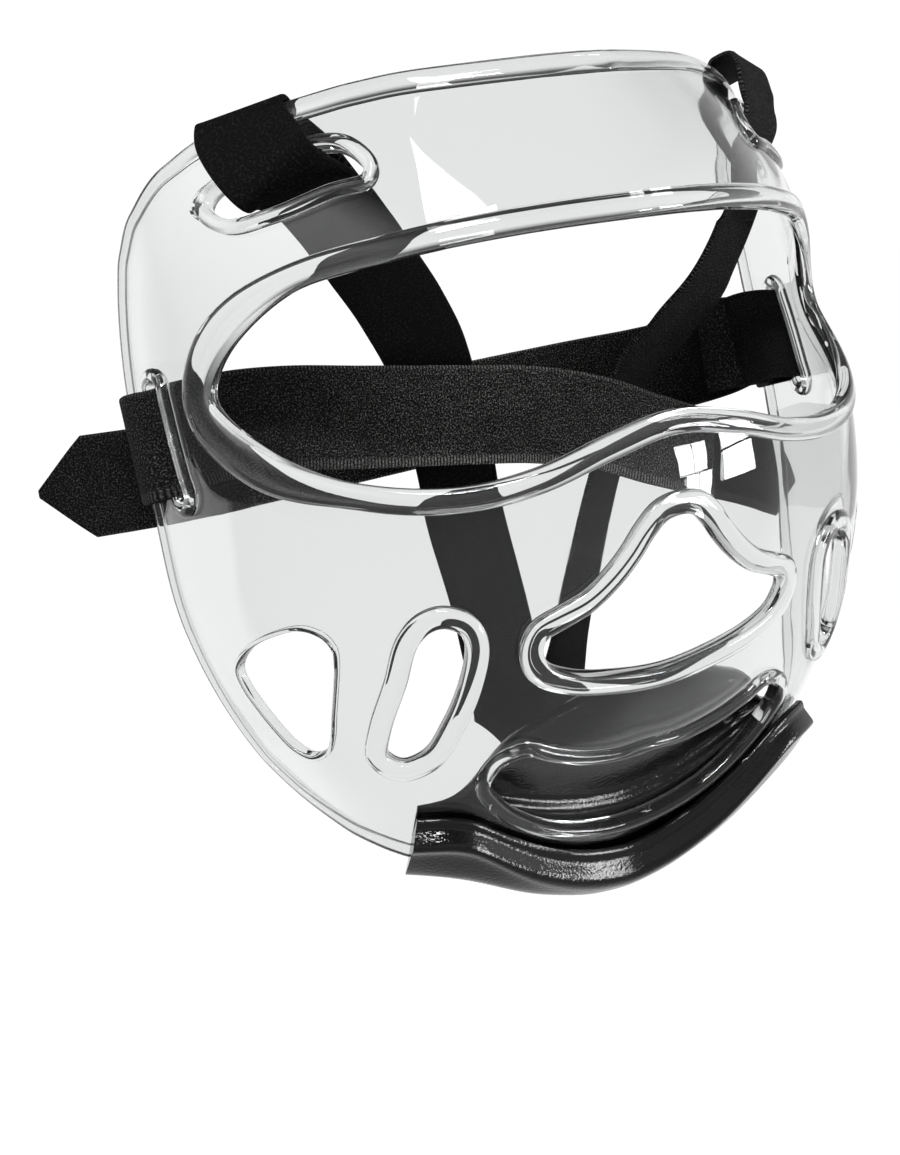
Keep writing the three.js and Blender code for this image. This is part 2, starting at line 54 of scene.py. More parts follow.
# half width, where the front stands, where it is widest, squareness; one row every 30 mm down
SECTIONS = [
    (79.0, -49.0, 15.0, 1.5),
    (88.5, -65.0, 21.0, 1.9),
    (92.5, -71.5, 20.5, 2.1),
    (92.5, -73.5, 14.5, 2.35),
    (91.0, -67.5, 9.5, 2.5),
    (81.5, -56.0, -0.5, 2.5),
    (62.0, -40.5, -15.0, 2.35),
    (42.0, -25.0, -29.5, 2.15),
]
SIDE_ANGLE = 85.0  # how far round from the front the sheet reaches
# angle round from the front, height of the edge there
TOP_EDGE = [(0, 56), (35, 56), (45, 55), (60, 52.3), (71, 48.5), (79, 42.5), (83.5, 34), (85, 26)]
BOTTOM_EDGE = [
    (0, -133.5), (34, -132.5), (52, -130), (61, -127), (65, -123),
    (70, -119.5), (74, -116), (79, -110), (83, -101), (85, -92),
]


def mix(a, b, t):
    return a + (b - a) * t


def smoothstep(x, low, high):
    t = min(max((x - low) / (high - low), 0.0), 1.0)
    return t * t * (3 - 2 * t)


def look_up(table, at, column=1):
    """Straight-line value of a column of a table whose first column rises."""
    if at <= table[0][0]:
        return table[0][column]
    for low, high in zip(table, table[1:]):
        if at <= high[0]:
            return mix(low[column], high[column], (at - low[0]) / (high[0] - low[0]))
    return table[-1][column]


def cubic(a, b, c, d, t):
    """Value between b and c of the smooth curve through evenly spaced a, b, c, d."""
    return 0.5 * (2 * b + (c - a + (2 * a - 5 * b + 4 * c - d + (3 * b - 3 * c + d - a) * t) * t) * t)


def section(z):
    """Half width, widest y, depth and power of the horizontal section at height z."""
    last = len(SECTIONS) - 1
    at = (SECTION_TOP - z) / SECTION_STEP
    i = min(max(math.floor(at), 0), last - 1)
    here = SECTIONS[i]
    after = SECTIONS[i + 1]
    before = SECTIONS[i - 1] if i else [2 * p - q for p, q in zip(here, after)]
    beyond = SECTIONS[i + 2] if i + 2 <= last else [2 * q - p for p, q in zip(here, after)]
    values = [cubic(a, b, c, d, at - i) for a, b, c, d in zip(before, here, after, beyond)]
    half, front, widest, power = values
    return half, widest, widest - front, power


def face_value(x, y, z):
    """1 on the outer face, more outside it."""
    half, widest, depth, power = section(z)
    return (abs(x) / half) ** power + (max(widest - y, 0) / depth) ** power


def face_normal(p):
    """Outward normal of the outer face, from small steps along each axis."""
    step = 0.05
    slopes = []
    for axis in range(3):
        more = list(p)
        less = list(p)
        more[axis] += step
        less[axis] -= step
        slopes.append(face_value(*more) - face_value(*less))
    return Vector(slopes).normalized()


def face_at_angle(degrees, z):
    """Point of the outer face at an angle round from the front."""
    half, widest, depth, power = section(z)
    angle = math.radians(degrees)
    reach = ((abs(math.sin(angle)) / half) ** power + (math.cos(angle) / depth) ** power) ** (-1 / power)
    return Vector((reach * math.sin(angle), widest - reach * math.cos(angle), z))


def face_from_front(x, z):
    """Point of the outer face that is seen at x, z from the front."""
    half, widest, depth, power = section(z)
    left = max(1 - (abs(x) / half) ** power, 0)
    return Vector((x, widest - depth * left ** (1 / power), z))


def face_from_side(y, z, side):
    """Point of the outer face that is seen at y, z from one side."""
    half, widest, depth, power = section(z)
    left = max(1 - (max(widest - y, 0) / depth) ** power, 0)
    return Vector((side * half * left ** (1 / power), y, z))


def off_face(p, distance):
    return p + face_normal(p) * distance


# ------------------------------------------------------------------ meshes

def new_object(name, points, faces):
    """A mesh object from points in millimetres."""
    mesh = bpy.data.meshes.new(name)
    mesh.from_pydata([tuple(p * MM) for p in points], [], faces)
    mesh.update()
    obj = bpy.data.objects.new(name, mesh)
    bpy.context.scene.collection.objects.link(obj)
    return obj


def face_outwards(obj):
    bm = bmesh.new()
    bm.from_mesh(obj.data)
    bmesh.ops.recalc_face_normals(bm, faces=bm.faces)
    bm.to_mesh(obj.data)
    bm.free()


def loft(name, rings, closed=False):
    """Joins rings of equal length; an open row of rings gets flat ends."""
    size = len(rings[0])
    points = [p for ring in rings for p in ring]
    faces = []
    rows = len(rings) if closed else len(rings) - 1
    for r in range(rows):
        here = r * size
        there = (r + 1) % len(rings) * size
        for k in range(size):
            k2 = (k + 1) % size
            faces.append((here + k, here + k2, there + k2, there + k))
    if not closed:
        faces.append(tuple(reversed(range(size))))
        faces.append(tuple(range((len(rings) - 1) * size, len(rings) * size)))
    obj = new_object(name, points, faces)
    face_outwards(obj)
    return obj


def combine(target, tool, operation):
    """Joins a closed tool to the target, or cuts it out, and drops the tool."""
    step = target.modifiers.new("combine", "BOOLEAN")
    step.operation = operation
    step.solver = "MANIFOLD"
    step.object = tool
    bake(target)
    bpy.data.objects.remove(tool)


def bake(obj):
    """Applies every modifier."""
    graph = bpy.context.evaluated_depsgraph_get()
    made = bpy.data.meshes.new_from_object(obj.evaluated_get(graph))
    obj.modifiers.clear()
    old = obj.data
    obj.data = made
    bpy.data.meshes.remove(old)


CRISP_ANGLE = 50


def shade(obj, degrees):
    """Smooth faces, with edges sharper than the angle kept crisp."""
    mesh = obj.data
    for face in mesh.polygons:
        face.use_smooth = True
    mesh.set_sharp_from_angle(angle=math.radians(degrees))


# ------------------------------------------------------------------ openings and rims

def mirrored(half):
    """A closed outline from its half with u >= 0."""
    return half + [(-u, v) for u, v in reversed(half) if u > 0]


RIM_HALF_THICK = 2.3
RIM_SUNK = 0.9
RIM_SIDES = 22
RIM_SQUARENESS = 2.9  # 2 gives a round bar, more a squarer one
CUT_MARGIN = 4.0  # how far a cut square to the sheet reaches past it
# Each outline is the middle line of the rim: x, z seen from the front, or y, z from the side.
# A cut runs straight along the view from near to far, or square to the sheet. The rim is a bar of
# the given half width; half_thick and sunk, the depth of its middle, are given where they differ
# from the usual. grow is where a rim starts and ends to widen, in |x|, and by how much. Paired
# openings are made on both sides. points is the number of points round the outline.
OPENINGS = {
    "goggle": {
        "view": "front", "near": -100, "far": -6, "half_width": 2.8, "points": 260,
        "grow": (66, 84, 2.0),
        "outline": mirrored([
            (0, 24.7), (29, 24.2), (50, 22.3), (69, 18.3), (80, 10), (85.5, -1.5), (85.6, -11),
            (79, -21.5), (64, -28), (48, -30.2), (33, -28.6), (16, -24), (0, -21.3),
        ]),
    },
    "nose": {
        "view": "front", "near": -100, "far": -30, "half_width": 2.9, "points": 150,
        "outline": mirrored([
            (0, -39), (5, -40), (9, -43.5), (12.7, -48.3), (17.2, -53), (22.5, -57), (29, -59.6), (34, -62),
            (35.3, -66.5), (33, -71.8), (26, -76), (13, -79.2), (0, -80.6),
        ]),
    },
    "mouth": {
        "view": "front", "near": -100, "far": -20, "half_width": 1.9, "points": 160,
        "outline": mirrored([
            (0, -99.4), (9, -99.6), (20, -97.4), (27.5, -94.5), (34, -91.5), (40.5, -93.3), (43, -99),
            (38.5, -106.7), (30, -114.2), (18.5, -120), (0, -123.2),
        ]),
    },
    "cheek_slot": {
        "view": "front", "near": -100, "far": -20, "half_width": 2.6, "points": 90, "paired": True,
        "outline": [
            (53.8, -54.9), (49, -57.5), (47, -62.5), (48, -72), (51.1, -82.2), (54.8, -89.8), (60.2, -92.2),
            (65.2, -88.2), (65.3, -80), (62.9, -69), (60.7, -59.5), (57.6, -55.8),
        ],
    },
    "vent": {
        "view": "side", "square_cut": True, "half_width": 0.7, "points": 110, "paired": True,
        "half_thick": 1.4, "sunk": WALL / 2,
        "outline": [
            (-17.4, -67), (-23.4, -61.2), (-32.7, -56.7), (-40, -55.2), (-43.5, -57.1), (-44.6, -60.2),
            (-43.9, -64), (-41.7, -70), (-39, -76.2), (-35.8, -82.8), (-32.6, -86.9), (-28, -88.4),
            (-24.6, -86.2), (-22.2, -81.8), (-19.8, -76.6), (-17.6, -71.4),
        ],
    },
    "top_slot": {
        "view": "front", "near": -100, "far": -2, "half_width": 1.7, "points": 80, "paired": True,
        "outline": [
            (49, 39.5), (51.4, 44.6), (57.5, 45.4), (69, 42.2), (75.6, 38), (77.3, 34), (74.8, 30.6),
            (68, 31.6), (57, 35), (50.8, 36.2),
        ],
    },
    "side_slot": {
        "view": "side", "near": 78, "far": 100, "half_width": 1.5, "points": 80, "paired": True,
        "outline": [
            (-0.6, 0.8), (-4.2, -0.6), (-6.2, -5.6), (-11.6, -21.8), (-13.2, -26.6), (-11.4, -29.8),
            (-7.6, -28.6), (-5.6, -23.4), (0, -6.4), (1.8, -1.6),
        ],
    },
}


def centripetal(a, b, c, d, t):
    """Point between b and c of the smooth curve whose knots are spaced by root distance."""
    def knot(p, q):
        return max((p - q).length ** 0.5, 1e-4)
    t1 = knot(a, b)
    t2 = t1 + knot(b, c)
    t3 = t2 + knot(c, d)
    s = mix(t1, t2, t)
    ab = a.lerp(b, s / t1)
    bc = b.lerp(c, (s - t1) / (t2 - t1))
    cd = c.lerp(d, (s - t2) / (t3 - t2))
    left = ab.lerp(bc, s / t2)
    right = bc.lerp(cd, (s - t1) / (t3 - t1))
    return left.lerp(right, (s - t1) / (t2 - t1))


def even_points(line, count):
    """Resamples a fine closed polyline at equal distances."""
    line = line + [line[0]]
    lengths = [0.0]
    for p, q in zip(line, line[1:]):
        lengths.append(lengths[-1] + (q - p).length)
    out = []
    i = 0
    for k in range(count):
        want = lengths[-1] * k / count
        while i < len(lengths) - 2 and lengths[i + 1] < want:
            i += 1
        out.append(line[i].lerp(line[i + 1], (want - lengths[i]) / max(lengths[i + 1] - lengths[i], 1e-9)))
    return out


def smooth_loop(corners, count):
    """A smooth closed curve through the corners, as evenly spaced points."""
    between = 16
    points = [Vector((u, v, 0)) for u, v in corners]
    size = len(points)
    fine = []
    for i in range(size):
        a, b, c, d = (points[(i + k - 1) % size] for k in range(4))
        fine.extend(centripetal(a, b, c, d, j / between) for j in range(between))
    return even_points(fine, count)


def rim_bar(name, places, half_thick, sunk, closed=True):
    """A rounded bar along (point on the face, half width) places, its middle sunk below the face."""
    rings = []
    count = len(places)
    for i, (point, half_width) in enumerate(places):
        before = places[(i - 1) % count if closed else max(i - 1, 0)][0]
        after = places[(i + 1) % count if closed else min(i + 1, count - 1)][0]
        out = face_normal(point)
        across = out.cross((after - before).normalized()).normalized()
        middle = point - out * sunk
        ring = []
        for k in range(RIM_SIDES):
            turn = 2 * math.pi * k / RIM_SIDES
            u = math.cos(turn)
            v = math.sin(turn)
            u = math.copysign(abs(u) ** (2 / RIM_SQUARENESS), u)
            v = math.copysign(abs(v) ** (2 / RIM_SQUARENESS), v)
            ring.append(middle + across * (half_width * u) + out * (half_thick * v))
        rings.append(ring)
    return loft(name, rings, closed)


def opening_bodies(name, spec, side):
    """The body to cut out of the sheet for an opening, and the bar that rims it."""
    front = spec["view"] == "front"
    line = smooth_loop(spec["outline"], spec["points"])
    places = []
    for q in line:
        point = face_from_front(side * q.x, q.y) if front else face_from_side(q.x, q.y, side)
        extra = 0
        if "grow" in spec:
            low, high, most = spec["grow"]
            extra = most * smoothstep(abs(q.x), low, high)
        places.append((point, spec["half_width"] + extra))
    if spec.get("square_cut"):
        rings = [[off_face(p, out) for p, _ in places] for out in (CUT_MARGIN, -WALL - CUT_MARGIN)]
    else:
        rings = [[
            Vector((side * q.x, depth, q.y)) if front else Vector((side * depth, q.x, q.y)) for q in line
        ] for depth in (spec["near"], spec["far"])]
    cutter = loft(name + "_cut", rings)
    half_thick = spec.get("half_thick", RIM_HALF_THICK)
    return cutter, rim_bar(name + "_rim", places, half_thick, spec.get("sunk", RIM_SUNK))


# ------------------------------------------------------------------ the clear shield

COLUMN_CROWDING = 1.3  # over 1 sets the sheet's columns closer together near its side edges
EDGE_SIDE_HALF = 1.9  # half width of the free edge's bar down the sides, also its half thickness
EDGE_TOP_HALF = 2.9
EDGE_WIDENS = (50, 84)  # angles between which it widens from one to the other


def sheet_angle(share):
    u = 2 * share - 1
    return math.copysign(SIDE_ANGLE * (1 - (1 - abs(u)) ** COLUMN_CROWDING), u)


def sheet_body(name, clearance, columns, rows):
    """The plain bent sheet; a clearance makes it thicker on both faces and lower at the bottom."""
    points = []
    for out in (clearance, -WALL - clearance):
        for i in range(columns + 1):
            angle = sheet_angle(i / columns)
            for j in range(rows + 1):
                z = mix(look_up(BOTTOM_EDGE, abs(angle)), look_up(TOP_EDGE, abs(angle)), j / rows)
                points.append(off_face(face_at_angle(angle, z if j else z - clearance), out))

    def at(layer, i, j):
        return (layer * (columns + 1) + i) * (rows + 1) + j

    faces = []
    for i in range(columns):
        for j in range(rows):
            faces.append((at(0, i, j), at(0, i + 1, j), at(0, i + 1, j + 1), at(0, i, j + 1)))
            faces.append((at(1, i, j), at(1, i, j + 1), at(1, i + 1, j + 1), at(1, i + 1, j)))
        faces.append((at(1, i, 0), at(1, i + 1, 0), at(0, i + 1, 0), at(0, i, 0)))
        faces.append((at(0, i, rows), at(0, i + 1, rows), at(1, i + 1, rows), at(1, i, rows)))
    for j in range(rows):
        faces.append((at(1, 0, j), at(0, 0, j), at(0, 0, j + 1), at(1, 0, j + 1)))
        faces.append((at(0, columns, j), at(1, columns, j), at(1, columns, j + 1), at(0, columns, j + 1)))
    obj = new_object(name, points, faces)
    face_outwards(obj)
    return obj


def edge_rim():
    """The thick free edge, up one side, over the forehead and down the other, with both ends
    hidden in the chin guard."""
    bottom_angles = (69, 71, 73, 75, 76.3, 77.7, 79, 80.5, 82, 83.2, 84.2)
    top_angles = (84.5, 83.5, 82, 80, 78, 75, 72, 69, 66, 62, 58, 54, 50, 46, 42, 37, 32, 26, 20, 13, 6)
    side_steps = 24
    between = 6
    stops = [(-a, look_up(BOTTOM_EDGE, a), EDGE_SIDE_HALF) for a in bottom_angles]
    low = look_up(BOTTOM_EDGE, SIDE_ANGLE)
    high = look_up(TOP_EDGE, SIDE_ANGLE)
    stops += [(-SIDE_ANGLE, mix(low, high, i / side_steps), EDGE_SIDE_HALF) for i in range(side_steps + 1)]
    for angle in top_angles:
        half = mix(EDGE_TOP_HALF, EDGE_SIDE_HALF, smoothstep(angle, *EDGE_WIDENS))
        stops.append((-angle, look_up(TOP_EDGE, angle), half))
    places = [(face_at_angle(a, z), half) for a, z, half in stops]
    places += [(Vector((-p.x, p.y, p.z)), half) for p, half in reversed(places)]
    widths = [half for _, half in places]
    fine = []
    for i in range(len(places) - 1):
        a, b, c, d = (places[min(max(i + k - 1, 0), len(places) - 1)][0] for k in range(4))
        if (b - c).length < 1e-6:
            continue
        for j in range(between):
            t = j / between
            fine.append((centripetal(a, b, c, d, t), mix(widths[i], widths[i + 1], t)))
    fine.append(places[-1])
    return rim_bar("edge_rim", fine, EDGE_SIDE_HALF, WALL / 2, closed=False)


# while the shield is put together, material slots tell which surface a face came from
SHEET_SLOT, RIM_SLOT, SLOTS = 0, 1, 2
# least cosine between a smooth normal and what it is compared with
RIM_AGREES = 0.5  # a rim's normal and the flat face it stands on
WHOLE_AGREES = 0.8  # a corner's normal and the normal at the middle of its face
SHEET_AGREES = 0.9  # the sheet's normal and the flat face; below it the face is a cut edge


def mark(obj, slot):
    """Gives every face of a body the one material slot."""
    obj.data.materials.clear()
    for _ in range(SLOTS):
        obj.data.materials.append(bpy.data.materials.get("mark") or bpy.data.materials.new("mark"))
    for face in obj.data.polygons:
        face.material_index = slot


class Smooth:
    """Normals of a smooth mesh, read at the nearest point of its surface."""

    def __init__(self, objects):
        self.points = []
        self.normals = []
        self.triangles = []
        for obj in objects:
            first = len(self.points)
            mesh = obj.data
            mesh.calc_loop_triangles()
            self.points += [v.co.copy() for v in mesh.vertices]
            self.normals += [v.normal.copy() for v in mesh.vertices]
            self.triangles += [tuple(first + v for v in t.vertices) for t in mesh.loop_triangles]
        self.tree = BVHTree.FromPolygons(self.points, self.triangles)

    def at(self, co, facing):
        place, _, index, _ = self.tree.find_nearest(co)
        corners = self.triangles[index]
        points = [self.points[k] for k in corners]
        normal = barycentric_transform(place, *points, *(self.normals[k] for k in corners)).normalized()
        return normal if normal.dot(facing) > RIM_AGREES else facing


def sheet_normal(co, facing):
    """Exact normal of the bent sheet's outer or inner face; its cut edges keep their own."""
    p = co / MM
    normal = face_normal(p)
    outwards = normal.dot(facing)
    if outwards < 0:
        normal = face_normal(p + normal * WALL)
        return -normal if outwards < -SHEET_AGREES else facing
    return normal if outwards > SHEET_AGREES else facing


def smooth_normals(body, rims):
    """Each corner takes the normal of the smooth surface it was cut from."""
    mesh = body.data
    normals = [None] * len(mesh.loops)
    for face in mesh.polygons:
        facing = face.normal.copy()
        whole = rims.at(face.center, facing) if face.material_index == RIM_SLOT else None
        for loop, vertex in zip(face.loop_indices, face.vertices):
            co = mesh.vertices[vertex].co
            if whole is None:
                normals[loop] = sheet_normal(co, facing)
            else:
                found = rims.at(co, facing)
                normals[loop] = found if found.dot(whole) > WHOLE_AGREES else whole
    for face in mesh.polygons:
        face.use_smooth = True
    mesh.normals_split_custom_set([tuple(n) for n in normals])


def build_shield(sheet_material, rim_material):
    body = sheet_body("clear_shield", 0, columns=130, rows=84)
    mark(body, SHEET_SLOT)
    rims = [edge_rim()]
    for name, spec in OPENINGS.items():
        for side in ((-1, 1) if spec.get("paired") else (1,)):
            cutter, rim = opening_bodies(name, spec, side)
            mark(cutter, SHEET_SLOT)
            combine(body, cutter, "DIFFERENCE")
            rims.append(rim)
    smooth_rims = Smooth(rims)
    for rim in rims:
        mark(rim, RIM_SLOT)
        combine(body, rim, "UNION")
    smooth_normals(body, smooth_rims)
    body.data.materials[SHEET_SLOT] = sheet_material
    body.data.materials[RIM_SLOT] = rim_material
    return body


# ------------------------------------------------------------------ the chin guard

GUARD_HALF = 56.0  # half of its length across the face
GUARD_STATIONS = 112
GUARD_POINTS = 150
PAD_STEP = 4.6  # how far the back lies behind the face where the share of the pad's depth is 0
HOLLOW_STEP = 4.2  # the same for the front of the pad
# distance out; heights of the outer lip, the ridge, the underside and the pad behind the mouth;
# share of the pad's full depth
GUARD_LINES = [
    (0, -129, -136.2, -142, -84, 1),
    (11, -127, -134.2, -140.5, -85, 1),
    (18, -124.3, -131.5, -138, -86.8, 1),
    (27, -119.8, -126.8, -134.5, -90, 1),
    (36, -113.7, -119.6, -129.5, -93.6, 1),
    (40, -110.6, -115.8, -127, -99.5, 0.9),
    (44, -107.4, -112.2, -125, -104, 0.6),
    (48, -106, -110.6, -123.2, -105.8, 0.3),
    (56, -105, -109.8, -121, -106, 0.08),
]
# the lines are averaged over these steps along x, with these shares, so that no row leaves a kink
EASE = {-5: 1 / 9, -2.5: 2 / 9, 0: 3 / 9, 2.5: 2 / 9, 5: 1 / 9}
# front face: share of the way from the lip down to the ridge, distance off the face
GUARD_FRONT = [(0.08, 2.1), (0.2, 2.5), (0.31, 2.8), (0.5, 4.3), (0.72, 6), (0.84, 6.5), (1.02, 6.5)]
# front of the pad with its crease: share of the way from the lip up to the pad's top, full depth
PAD_FRONT = [(0.42, 5.9), (0.245, 5.7), (0.205, 3.9), (0.1, 3.5)]


def guard_outline(x):
    """Closed section of the guard at x, as height and distance off the shield's outer face."""
    lip, ridge, base, pad, deep = (
        sum(share * look_up(GUARD_LINES, abs(x + step), column) for step, share in EASE.items())
        for column in range(1, 6))
    rise = pad - lip

    def back(depth):
        return -mix(PAD_STEP, depth, deep)

    def hollow(depth):
        return -mix(HOLLOW_STEP, depth, deep)

    rolled_lip = [(lip - 0.6, -0.5), (lip - 0.6, 0.4), (lip, 1.4)]
    front = [(mix(lip, ridge, share), out) for share, out in GUARD_FRONT]
    underside = [(ridge - 1.6, 5.9), (base + 1.4, 3.7), (base, 0), (base + 1, back(6.5))]
    pad_back = [(base + 5, back(10.2)), (mix(base + 5, pad, 0.5), back(11.5)), (pad - 1.4, back(10.6))]
    pad_top = [(pad, back(8.2)), (pad - 0.3, back(6)), (pad - 0.15 * rise, hollow(4.8))]
    pad_front = [(lip + share * rise, hollow(depth)) for share, depth in PAD_FRONT]
    return rolled_lip + front + underside + pad_back + pad_top + pad_front + [(lip - 1.2, -2.4)]


def build_guard(material):
    rings = []
    for i in range(GUARD_STATIONS + 1):
        x = mix(-GUARD_HALF, GUARD_HALF, i / GUARD_STATIONS)
        line = smooth_loop(guard_outline(x), GUARD_POINTS)
        rings.append([off_face(face_from_front(x, q.x), q.y) for q in line])
    guard = loft("moulded_guard", rings)
    groove = sheet_body("groove", GAP + MESH_SLACK, columns=90, rows=60)
    combine(guard, groove, "DIFFERENCE")
    shade(guard, CRISP_ANGLE)
    guard.data.materials.clear()
    guard.data.materials.append(material)
    return guard


# ------------------------------------------------------------------ straps

STRAP_THICK = 1.5
SIDE_STRAP_WIDTH = 25.0
TOP_STRAP_WIDTH = 21.5
TIP = 0.08  # width of the pointed tip as a share of the strap's
SELVEDGE_ROUND = 0.7  # how far in from the edge a tape's section is rounded
STRAP_STEPS = 10  # rows of points from one stop to the next
# directions across a strap
UPRIGHT = (0, -0.12, -1)
ALONG_SIDE_SLOT = (0, -0.33, -0.94)
ALONG_SIDE_EDGE = (0, -0.22, -0.97)
TOP_ACROSS = (0.733, -0.659, 0.171)
LEFT_ACROSS = (0.733, 0.659, -0.171)
LEFT_TWIST = (0.839, 0.545, 0)
LEFT_TILT = (0.835, 0.525, -0.164)
LEFT_INSIDE = (0.62, 0.74, -0.26)
LEFT_OPEN = (0.7, 0.58, -0.41)
STRAIGHT_DOWN = (1, -0.08, 0)
CREASE = 1  # skew of a slanted crease: the direction across is kept as given


def turn_round_edge(angle, z, across, reach, slack):
    """Stops on a half turn round the free edge to the inner face, where it lies looser by the slack."""
    edge = face_at_angle(angle, z)
    out = face_normal(edge)
    middle = edge - out * (WALL / 2)
    off = out.cross(Vector(across).normalized()).normalized()
    if off.y < 0:
        off = -off
    stand_off = EDGE_SIDE_HALF + GAP + MESH_SLACK + STRAP_THICK / 2
    steps = 4
    stops = []
    for i in range(steps + 1):
        turn = math.pi * i / steps
        near = stand_off + slack if turn > math.pi / 2 else stand_off
        at = middle + out * (near * math.cos(turn)) + off * (reach * math.sin(turn))
        stops.append((tuple(at), across))
    return stops


def side_loop(side):
    """Through the side slot, back round the edge and in again close beside the tail."""
    stops = [
        ((side * 80, -3.6, -13.4), ALONG_SIDE_SLOT),
        ((side * 86, -5.2, -13.8), ALONG_SIDE_SLOT),
        ((side * 90.2, -5.8, -14.2), ALONG_SIDE_SLOT),
        ((side * 94.2, -5, -14.6), ALONG_SIDE_SLOT),
        ((side * 96, -1.6, -15.2), ALONG_SIDE_SLOT),
        ((side * 96, 3.6, -16), ALONG_SIDE_EDGE),
    ]
    stops += turn_round_edge(side * SIDE_ANGLE, -17, ALONG_SIDE_EDGE, 3.3, 0.5)
    return stops + [
        ((side * 84.2, 3.4, -16), ALONG_SIDE_SLOT),
        ((side * 79, -0.2, -15), ALONG_SIDE_SLOT),
        ((side * 72, 0.9, -14.6), UPRIGHT),
        ((side * 64, 2.1, -14.8), UPRIGHT),
    ]


# place of the middle line, direction across; the first stop is the pointed tip
SIDE_RIGHT = [(at, UPRIGHT) for at in (
    (112, 20, -62), (101, 18, -58), (84, 12.5, -51.4), (62, 3.4, -43.4), (43, -0.4, -36.2),
    (27.8, -1.2, -29.8), (8.4, -1, -24.3), (-11.5, -0.9, -21.1), (-39.7, -0.8, -17.1),
    (-58, -0.8, -14.4), (-71, -1.8, -13.4),
)]
SIDE_LEFT = [(at, UPRIGHT) for at in (
    (-114, 28, -25), (-102, 28, -25.3), (-84, 27, -25.6), (-48, 25.5, -24.7), (10, 23.5, -22.3),
    (39.6, 24, -21.4), (56, 20.2, -20.7), (67.4, 12.4, -19), (72.6, 4, -16.6), (75.4, -1.2, -14.4),
)]
TOP_RIGHT = [
    ((-16.6, -13, -106), (1, -0.05, -0.1)), ((-13.4, -9, -99.6), (1, -0.05, -0.1)),
    ((-9.3, 3, -73.5), STRAIGHT_DOWN), ((-10.6, 9, -47.3), (1, -0.12, 0)),
    ((-11.8, 8.6, -33.6), (1, -0.12, 0)), ((-17, 5.5, -7.7), (0.98, -0.16, 0.1)),
    ((-26.8, -3, 7), (0.92, -0.34, 0.14)), ((-38.2, -14, 18.2), (0.84, -0.5, 0.2)),
    ((-48.6, -24.4, 27.6), (0.76, -0.62, 0.18)), ((-57, -30.8, 34.8), TOP_ACROSS),
    ((-61.8, -32, 37.4), TOP_ACROSS), ((-66.2, -32, 40.4), TOP_ACROSS), ((-68, -26.6, 45.4), TOP_ACROSS),
    *turn_round_edge(-63, 51.2, TOP_ACROSS, 4.3, 1.8),
    ((-58.6, -18.6, 42.6), TOP_ACROSS), ((-54.6, -22.6, 36.6), TOP_ACROSS), ((-48, -20.4, 29), TOP_ACROSS),
]
TOP_LEFT = [(at, LEFT_TWIST) for at in (
    (3.8, -3, -108), (7.4, 1.6, -102.6), (14.4, 7.4, -93.4), (19, 10, -84.6), (29.6, 12.4, -60.5),
    (36.2, 12, -44.3),
)] + [(at, LEFT_OPEN) for at in ((46, 9.7, -20), (52.9, -1.7, -7.4), (57.6, -12.2, 3.5))] + [
    ((62.6, -21, 19.9), LEFT_TILT), ((60.7, -27, 29.6), LEFT_ACROSS), ((60.8, -29.6, 35.2), LEFT_TILT),
    ((62.6, -30.2, 38.2), LEFT_TILT), ((64.4, -30.1, 42.2), LEFT_TILT),
    ((65.4, -28.2, 47.1), LEFT_TILT), ((67, -25.2, 52.4), LEFT_TILT),
    ((68, -21.4, 56.4), LEFT_TILT, CREASE), ((68, -15.2, 56.2), LEFT_TILT, CREASE),
    ((65.8, -10.8, 54), LEFT_INSIDE, CREASE), ((64.4, -9.8, 49.7), LEFT_INSIDE, CREASE),
    ((64.2, -12.4, 45), LEFT_INSIDE), ((63.6, -16.6, 40), LEFT_INSIDE),
    ((62.4, -21, 35), LEFT_ACROSS), ((61.2, -24, 29.6), LEFT_ACROSS),
]
# side of the tape with the pile (0 its upper face, 1 the other); width of the selvedges and half
# of what one has over the other, in metres; lightness of the pile near the tip and near the slot
# and the distance from the tip, in metres, where one turns into the other; lightness of the back
TAPES = {
    "strap_side_right": (1, 0.002, 0.0007, 0.42, 0.12, 0.17, 0.017),
    "strap_side_left": (0, 0.0008, 0.0, 0.3, 0.03, 0.175, 0.05),
    "strap_top_right": (1, 0.0005, 0.0, 0.06, 0.06, 0.1, 0.017),
    "strap_top_left": (0, 0.0005, 0.0, 0.1, 0.08, 0.1, 0.017),
}
STRAPS = {
    "strap_side_right": (SIDE_STRAP_WIDTH, SIDE_RIGHT + side_loop(-1)),
    "strap_side_left": (SIDE_STRAP_WIDTH, SIDE_LEFT + side_loop(1)),
    "strap_top_right": (TOP_STRAP_WIDTH, TOP_RIGHT),
    "strap_top_left": (TOP_STRAP_WIDTH, TOP_LEFT),
}


def strap_section(half):
    """Rounded section of a tape: share across and share of thickness."""
    corner = min(SELVEDGE_ROUND / half, 0.45)
    rounded = [(-1, 0.35), (-1 + corner * 0.35, 0.8), (-1 + corner, 1), (-0.6, 1), (-0.2, 1)]
    top = rounded + [(-u, v) for u, v in reversed(rounded)]
    return top + [(u, -v) for u, v in reversed(top)]


